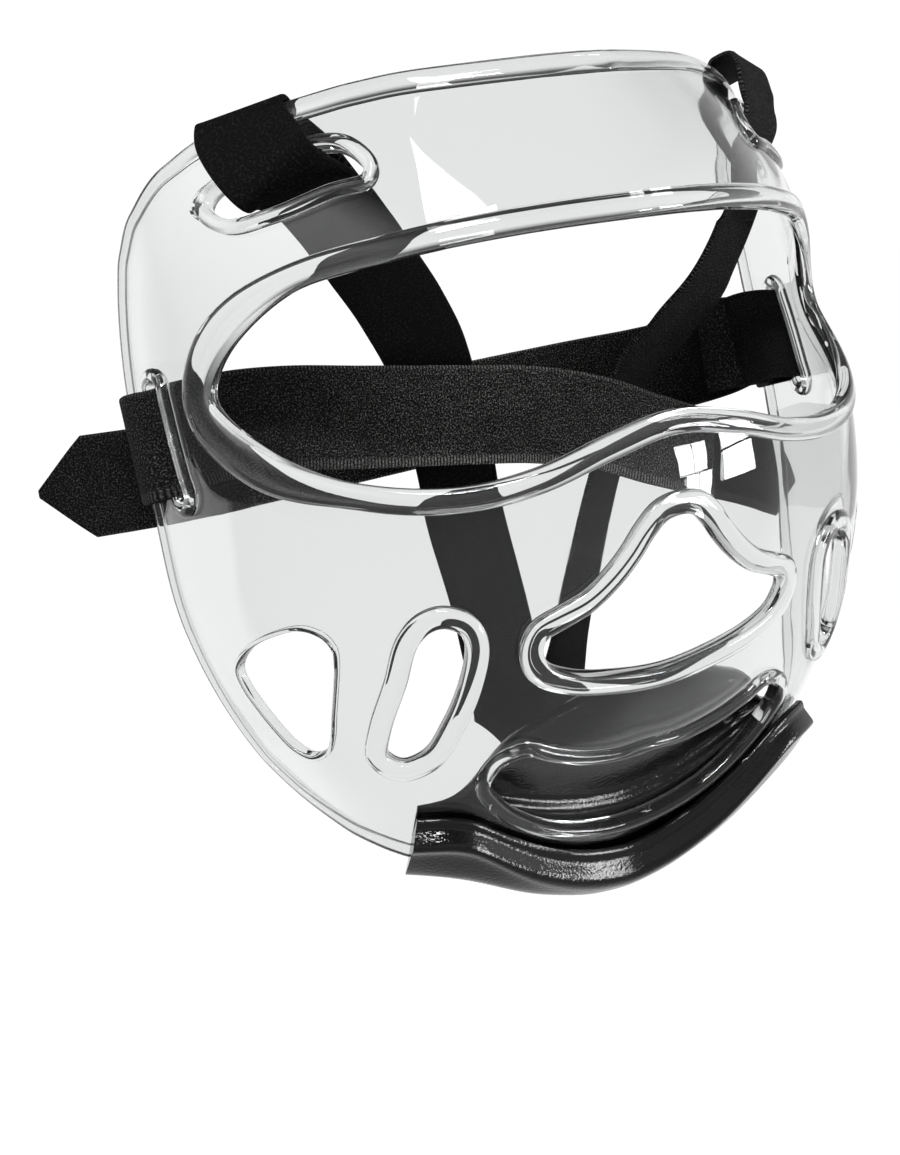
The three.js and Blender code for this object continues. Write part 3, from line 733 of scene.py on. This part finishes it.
def build_strap(name, width, stops, upper, lower):
    """The tape as one band, with lengthwise and crosswise distances kept as its UV map. Returns
    the band and its length along the middle line."""
    points = [Vector(stop[0]) for stop in stops]
    skews = [stop[2] if len(stop) > 2 else 0 for stop in stops]
    ends = len(points) - 1
    rows = []
    for i in range(ends):
        a, b, c, d = (points[min(max(i + k - 1, 0), ends)] for k in range(4))
        if i == 0:
            a = 2 * b - c
        if i == ends - 1:
            d = 2 * c - b
        for j in range(STRAP_STEPS + (i == ends - 1)):
            t = j / STRAP_STEPS
            across = Vector(stops[i][1]).normalized().lerp(Vector(stops[i + 1][1]).normalized(), t)
            part = mix(TIP, 1, t) if i == 0 else 1
            skew = mix(skews[i], skews[i + 1], t)
            rows.append((centripetal(a, b, c, d, t), across, part, skew))
    rings = []
    lengths = [0.0]
    for i, (middle, across, part, skew) in enumerate(rows):
        before = rows[max(i - 1, 0)][0]
        after = rows[min(i + 1, len(rows) - 1)][0]
        along = (after - before).normalized()
        across = (across - along * (across.dot(along) * (1 - skew))).normalized()
        out = across.cross(along).normalized()
        half = width * part / 2
        shape = strap_section(half)
        rings.append([middle + across * (u * half) + out * (v * STRAP_THICK / 2) for u, v in shape])
        if i:
            lengths.append(lengths[-1] + (middle - before).length)
    obj = loft("woven_" + name, rings)
    size = len(rings[0])
    shape = strap_section(width / 2)
    uv = obj.data.uv_layers.new(name="tape")
    for face in obj.data.polygons:
        for loop, vertex in zip(face.loop_indices, face.vertices):
            row, k = divmod(vertex, size)
            share = shape[k][0] * rows[row][2]
            uv.data[loop].uv = (lengths[row] * MM, share * width / 2 * MM)
    obj.data.materials.clear()
    obj.data.materials.append(upper)
    obj.data.materials.append(lower)
    half_ring = size // 2
    for face in obj.data.polygons:
        ks = [v % size for v in face.vertices]
        face.material_index = int(min(ks) >= half_ring or sum(ks) / len(ks) > half_ring)
    shade(obj, CRISP_ANGLE)
    return obj, lengths[-1]


# ------------------------------------------------------------------ materials

def material(name):
    made = bpy.data.materials.new(name)
    made.use_nodes = True
    nodes = made.node_tree.nodes
    return made, nodes, made.node_tree.links, nodes["Principled BSDF"]


def add(nodes, kind, **sockets):
    """A new node with its inputs set by name; an underscore stands for a space."""
    node = nodes.new(kind)
    for key, value in sockets.items():
        node.inputs[key.replace("_", " ")].default_value = value
    return node


def ramp(nodes, links, source, low, high, low_at=0.0, high_at=1.0):
    """Maps a value to low..high while it goes from low_at to high_at, and holds it beyond."""
    node = nodes.new("ShaderNodeMapRange")
    node.inputs["From Min"].default_value = low_at
    node.inputs["From Max"].default_value = high_at
    node.inputs["To Min"].default_value = low
    node.inputs["To Max"].default_value = high
    links.new(source, node.inputs["Value"])
    return node.outputs["Result"]


def bump(nodes, links, height, distance, strength=1.0, normal=None):
    node = add(nodes, "ShaderNodeBump", Strength=strength, Distance=distance)
    links.new(height, node.inputs["Height"])
    if normal:
        links.new(normal, node.inputs["Normal"])
    return node.outputs["Normal"]


CLEAR_TINT = (0.8, 0.81, 0.81, 1)
CLEAR_IOR = 1.56
VINYL_DARK = (0.0015, 0.0015, 0.0018, 1)
VINYL_LIGHT = (0.0045, 0.0045, 0.005, 1)
VINYL_IOR = 1.5


def clear_plastic(name, cloud):
    """Polycarbonate with patches of faint haze and a slow waviness; cloud is the share that
    doesn't let light through."""
    made, nodes, links, shader = material(name)
    shader.inputs["Base Color"].default_value = CLEAR_TINT
    shader.inputs["Transmission Weight"].default_value = 1 - cloud
    shader.inputs["IOR"].default_value = CLEAR_IOR
    place = nodes.new("ShaderNodeTexCoord").outputs["Object"]
    haze = add(nodes, "ShaderNodeTexNoise", Scale=60.0, Detail=4.0)
    links.new(place, haze.inputs["Vector"])
    roughness = ramp(nodes, links, haze.outputs["Fac"], 0.0, 0.06, low_at=0.45, high_at=0.8)
    links.new(roughness, shader.inputs["Roughness"])
    flow = add(nodes, "ShaderNodeTexNoise", Scale=28.0, Detail=1.0)
    links.new(place, flow.inputs["Vector"])
    links.new(bump(nodes, links, flow.outputs["Fac"], distance=0.0008), shader.inputs["Normal"])
    return made


def black_vinyl():
    """Dipped foam: glossy black skin with a fine pebble and soft dents."""
    made, nodes, links, shader = material("black_dipped_vinyl")
    shader.inputs["IOR"].default_value = VINYL_IOR
    place = nodes.new("ShaderNodeTexCoord").outputs["Object"]
    tone = add(nodes, "ShaderNodeTexNoise", Scale=120.0, Detail=4.0)
    links.new(place, tone.inputs["Vector"])
    colour = nodes.new("ShaderNodeMixRGB")
    colour.inputs["Color1"].default_value = VINYL_DARK
    colour.inputs["Color2"].default_value = VINYL_LIGHT
    links.new(tone.outputs["Fac"], colour.inputs["Fac"])
    links.new(colour.outputs["Color"], shader.inputs["Base Color"])
    roughness = ramp(nodes, links, tone.outputs["Fac"], 0.05, 0.13, low_at=0.3, high_at=0.7)
    links.new(roughness, shader.inputs["Roughness"])
    dents = add(nodes, "ShaderNodeTexNoise", Scale=55.0, Detail=1.0)
    links.new(place, dents.inputs["Vector"])
    pebble = add(nodes, "ShaderNodeTexNoise", Scale=1500.0, Detail=2.0)
    links.new(place, pebble.inputs["Vector"])
    dented = bump(nodes, links, dents.outputs["Fac"], distance=0.0002)
    pebbled = bump(nodes, links, pebble.outputs["Fac"], distance=0.0001, normal=dented)
    links.new(pebbled, shader.inputs["Normal"])
    return made


def maths(nodes, links, operation, first, second=None):
    """One operation on one or two values; numbers are set, sockets are linked."""
    node = nodes.new("ShaderNodeMath")
    node.operation = operation
    for socket, value in zip(node.inputs, (first, second)):
        if value is None:
            continue
        if isinstance(value, (int, float)):
            socket.default_value = value
        else:
            links.new(value, socket)
    return node.outputs["Value"]


def shades(nodes, links, share, dark, light):
    """Mixes two colours by a share; each is a colour or a socket."""
    node = nodes.new("ShaderNodeMixRGB")
    for name, colour in (("Color1", dark), ("Color2", light)):
        if isinstance(colour, tuple):
            node.inputs[name].default_value = (*colour, 1)
        else:
            links.new(colour, node.inputs[name])
    links.new(share, node.inputs["Fac"])
    return node.outputs["Color"]


# one turn of a wave texture of scale 1 takes this many units
WAVE_TURN = 20.0
# lengths on the tape, in metres
RIB_PERIOD = 0.0009
HOOK_END = 0.05
HOOK_SHADE = 0.3  # lightness of the patch of hooks at a strap's tip, as a share of the pile's
PILE_GRAIN = 2300.0
BACK_GRAIN = 1500.0
TAPE_DARK = (0.0035, 0.0035, 0.0037)
TAPE_LIGHT = (1, 1, 0.97)


def tape(name, width, selvedge_width, uneven, light, far_light=0.0, change=0.0):
    """Hook-and-loop tape, its lightest fibres at the given lightness: with another lightness
    beyond a change along the tape it is the pile with ribbed selvedges, otherwise the back."""
    made, nodes, links, shader = material(name)
    shader.inputs["Roughness"].default_value = 0.9
    shader.inputs["Specular IOR Level"].default_value = 0.1
    pile = far_light > 0
    place = nodes.new("ShaderNodeUVMap")
    place.uv_map = "tape"
    uv = place.outputs["UV"]
    split = nodes.new("ShaderNodeSeparateXYZ")
    links.new(uv, split.inputs["Vector"])
    grain = add(nodes, "ShaderNodeTexNoise", Scale=PILE_GRAIN if pile else BACK_GRAIN, Detail=4.0)
    grain.inputs["Roughness"].default_value = 0.75
    links.new(uv, grain.inputs["Vector"])
    brushed = add(nodes, "ShaderNodeTexNoise", Scale=170.0, Detail=3.0)
    links.new(uv, brushed.inputs["Vector"])
    ribs = add(nodes, "ShaderNodeTexWave", Distortion=1.2, Detail=2.0, Detail_Scale=3.0)
    ribs.wave_type = "BANDS"
    ribs.bands_direction = "X"
    ribs.inputs["Scale"].default_value = 2 * math.pi / (WAVE_TURN * RIB_PERIOD)
    links.new(uv, ribs.inputs["Vector"])
    speckle = ramp(nodes, links, grain.outputs["Fac"], 0, 1, low_at=0.52, high_at=0.62)
    patches = ramp(nodes, links, brushed.outputs["Fac"], 0.6, 1.0, low_at=0.3, high_at=0.7)
    speckle = maths(nodes, links, "MULTIPLY", speckle, patches)
    if pile:
        from_middle = maths(nodes, links, "ADD", split.outputs["Y"], uneven)
        from_middle = maths(nodes, links, "ABSOLUTE", from_middle)
        starts = width * MM / 2 - selvedge_width
        whole = width * MM / 2 - selvedge_width * 0.6
        selvedge = ramp(nodes, links, from_middle, 0, 1, low_at=starts, high_at=whole)
        along = split.outputs["X"]
        level = ramp(nodes, links, along, light, far_light, low_at=change - 0.03, high_at=change + 0.015)
        hooks = ramp(nodes, links, along, HOOK_SHADE, 1.0, low_at=HOOK_END, high_at=HOOK_END + 0.001)
        level = maths(nodes, links, "MULTIPLY", level, hooks)
        loose = ramp(nodes, links, grain.outputs["Fac"], 0.1, 1.3, low_at=0.44, high_at=0.62)
        rib_tone = maths(nodes, links, "MULTIPLY", ribs.outputs["Fac"], loose)
        fibres = shades(nodes, links, selvedge, speckle, rib_tone)
        fibres = maths(nodes, links, "MULTIPLY", fibres, level)
    else:
        fibres = maths(nodes, links, "MULTIPLY", speckle, light)
    links.new(shades(nodes, links, fibres, TAPE_DARK, TAPE_LIGHT), shader.inputs["Base Color"])
    ribbed = bump(nodes, links, ribs.outputs["Fac"], distance=0.0001, strength=0.4 if pile else 0.12)
    grained = bump(nodes, links, grain.outputs["Fac"], distance=0.0004 if pile else 0.0001, normal=ribbed)
    links.new(grained, shader.inputs["Normal"])
    return made


# ------------------------------------------------------------------ camera, light, floor

SENSOR_WIDTH = 36.0
LENS = 60.0
CAMERA_AT = (-187.0, -335.5, 21.1)
CAMERA_RIGHT = (0.8780, -0.4628, -0.1221)
CAMERA_UP = (0.2066, 0.1362, 0.9689)


def place_camera():
    """Stands where the photograph's camera stood and looks the same way."""
    data = bpy.data.cameras.new("camera")
    data.sensor_fit = "HORIZONTAL"
    data.sensor_width = SENSOR_WIDTH
    data.lens = LENS
    data.clip_start = 0.01
    camera = bpy.data.objects.new("camera", data)
    right = Vector(CAMERA_RIGHT).normalized()
    back = right.cross(Vector(CAMERA_UP)).normalized()
    up = back.cross(right)
    turn = Matrix((right, up, back)).transposed()
    camera.matrix_world = Matrix.Translation(Vector(CAMERA_AT) * MM) @ turn.to_4x4()
    bpy.context.scene.collection.objects.link(camera)
    bpy.context.scene.camera = camera


def light_pane(name, centre, right, up, glow):
    """A bright panel spanned by two edge vectors, facing the object."""
    data = bpy.data.lights.new(name, "AREA")
    data.shape = "RECTANGLE"
    data.size = right.length
    data.size_y = up.length
    data.energy = glow * right.length * up.length
    light = bpy.data.objects.new(name, data)
    x = right.normalized()
    z = x.cross(up).normalized()
    light.matrix_world = Matrix.Translation(centre) @ Matrix((x, z.cross(x), z)).transposed().to_4x4()
    bpy.context.scene.collection.objects.link(light)


PANE_GLOW = 60.0
PANE_ROWS = 2
PANE_BAR = 0.08  # share of a pane's side taken by the bars between panes
# lights are placed in metres
# two windows low in front, on the wearer's left: lower left, lower right and upper left corner,
# and the panes side by side
WINDOWS = {
    "window_1": ((0.288, -0.423, -0.252), (0.332, -0.395, -0.243), (0.274, -0.482, -0.114), 2),
    "window_2": ((0.347, -0.397, -0.212), (0.415, -0.339, -0.188), (0.342, -0.454, -0.063), 1),
}


def light_window(name, low_left, low_right, high_left, columns):
    """A window of separate panes, two high."""
    corner = Vector(low_left)
    right = (Vector(low_right) - corner) / columns
    up = (Vector(high_left) - corner) / PANE_ROWS
    bright = 1 - PANE_BAR
    for i in range(columns):
        for j in range(PANE_ROWS):
            centre = corner + right * (i + 0.5) + up * (j + 0.5)
            light_pane(f"{name}_{i}_{j}", centre, right * bright, up * bright, PANE_GLOW)


SOFTBOX = [(-0.309, -0.295, 1.189), (-0.529, -0.793, 0.837), (-0.182, -0.926, 0.844)]
SOFTBOX_GLOW = 6.0
STRIP_AT = (-0.31, -0.88, 0.76)
STRIP_LONG = (0.36, -0.06, 0.0)
STRIP_WIDE = (0.02, 0.04, 0.06)
STRIP_GLOW = 260.0


def build_softbox():
    """A three-cornered overhead softbox, in front and a little to the right of the wearer."""
    obj = new_object("softbox", [Vector(p) / MM for p in SOFTBOX], [(0, 1, 2)])
    made, _, _, shader = material("softbox_cloth")
    shader.inputs["Base Color"].default_value = (0.8, 0.8, 0.8, 1)
    shader.inputs["Emission Color"].default_value = (1, 1, 1, 1)
    shader.inputs["Emission Strength"].default_value = SOFTBOX_GLOW
    obj.data.materials.append(made)


FLOOR_Z = -300.0
FLOOR_HALF = 6000.0
AWAY = (0.442, 0.897, 0)  # level direction in which the floor grows brighter
NEAR_GLOW = 0.22
FAR_GLOW = 0.98
FLOOR_GLOWS = (-0.1, 0.03)  # metres along it between which it does
# the room's brightness, and the directions between which each part of it changes
WALL_GLOW = 1.05
CEILING_GLOW = 0.08
WALLS_END = (0.22, 0.55)
DOORWAY_GLOW = 0.12  # share of the walls' brightness
DOORWAY_ENDS = (-0.78, -0.6)
FRONT_GLOW = 0.45  # share of the walls' brightness
FRONT_ENDS = (-0.8, -0.5)
SIDE_WALL_GLOW = 1.25
SIDE_WALL_ENDS = (-0.645, -0.46)
LINTEL_ENDS = (0.1, 0.6)


def build_floor():
    # painted light: the floor is pale only by its own glow over a dark grey colour, dim on the camera's
    # side and bright beyond it
    corners = [(-1, -1), (1, -1), (1, 1), (-1, 1)]
    points = [Vector((x * FLOOR_HALF, y * FLOOR_HALF, FLOOR_Z)) for x, y in corners]
    obj = new_object("floor", points, [(0, 1, 2, 3)])
    made, nodes, links, shader = material("glowing_floor")
    shader.inputs["Base Color"].default_value = (0.12, 0.12, 0.12, 1)
    shader.inputs["Roughness"].default_value = 0.9
    shader.inputs["Specular IOR Level"].default_value = 0.0
    shader.inputs["Emission Color"].default_value = (1, 1, 1, 1)
    along = nodes.new("ShaderNodeVectorMath")
    along.operation = "DOT_PRODUCT"
    along.inputs[1].default_value = AWAY
    links.new(nodes.new("ShaderNodeTexCoord").outputs["Object"], along.inputs[0])
    glow = ramp(nodes, links, along.outputs["Value"], NEAR_GLOW, FAR_GLOW, *FLOOR_GLOWS)
    links.new(glow, shader.inputs["Emission Strength"])
    obj.data.materials.append(made)


def light_scene():
    """A room painted by direction alone, a softbox, a strip light and two windows."""
    world = bpy.data.worlds.new("studio")
    world.use_nodes = True
    nodes = world.node_tree.nodes
    links = world.node_tree.links
    split = nodes.new("ShaderNodeSeparateXYZ")
    links.new(nodes.new("ShaderNodeTexCoord").outputs["Generated"], split.inputs["Vector"])
    x, y, z = (split.outputs[axis] for axis in "XYZ")
    walls = ramp(nodes, links, z, WALL_GLOW, CEILING_GLOW, *WALLS_END)
    front = ramp(nodes, links, y, FRONT_GLOW, 1.0, *FRONT_ENDS)
    doorway = ramp(nodes, links, x, DOORWAY_GLOW, 1.0, *DOORWAY_ENDS)
    side_wall = ramp(nodes, links, x, SIDE_WALL_GLOW, CEILING_GLOW, *SIDE_WALL_ENDS)
    lintel = ramp(nodes, links, z, 0.0, 1.0, *LINTEL_ENDS)
    walls = maths(nodes, links, "MULTIPLY", maths(nodes, links, "MULTIPLY", walls, front), doorway)
    side_wall = maths(nodes, links, "MULTIPLY", side_wall, lintel)
    links.new(maths(nodes, links, "MAXIMUM", walls, side_wall), nodes["Background"].inputs["Strength"])
    nodes["Background"].inputs["Color"].default_value = (1, 1, 1, 1)
    bpy.context.scene.world = world
    build_softbox()
    light_pane("strip", Vector(STRIP_AT), Vector(STRIP_LONG), Vector(STRIP_WIDE), STRIP_GLOW)
    for name, (low_left, low_right, high_left, columns) in WINDOWS.items():
        light_window(name, low_left, low_right, high_left, columns)
    bpy.context.scene.view_settings.view_transform = "Standard"


# ------------------------------------------------------------------ everything together

place_camera()
light_scene()
build_floor()

clear_sheet = clear_plastic("clear_polycarbonate", cloud=0.0)
clear_rim = clear_plastic("clear_polycarbonate_rim", cloud=0.02)
shield = build_shield(clear_sheet, clear_rim)
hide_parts("shield")
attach(shield, "root")

guard = build_guard(black_vinyl())
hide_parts("chin_guard")
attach(guard, "root")

for strap_name, (strap_width, strap_stops) in STRAPS.items():
    pile_side, selvedge_width, uneven, tip_light, slot_light, change, back_light = TAPES[strap_name]
    short = strap_name.replace("strap_", "")
    edges = (strap_width, selvedge_width, uneven)
    faces = [tape("loop_pile_" + short, *edges, tip_light, slot_light, change)]
    faces.insert(1 - pile_side, tape("tape_back_" + short, *edges, back_light))
    strap, strap_length = build_strap(strap_name, strap_width, strap_stops, *faces)
    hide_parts(strap_name)
    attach(strap, "root")
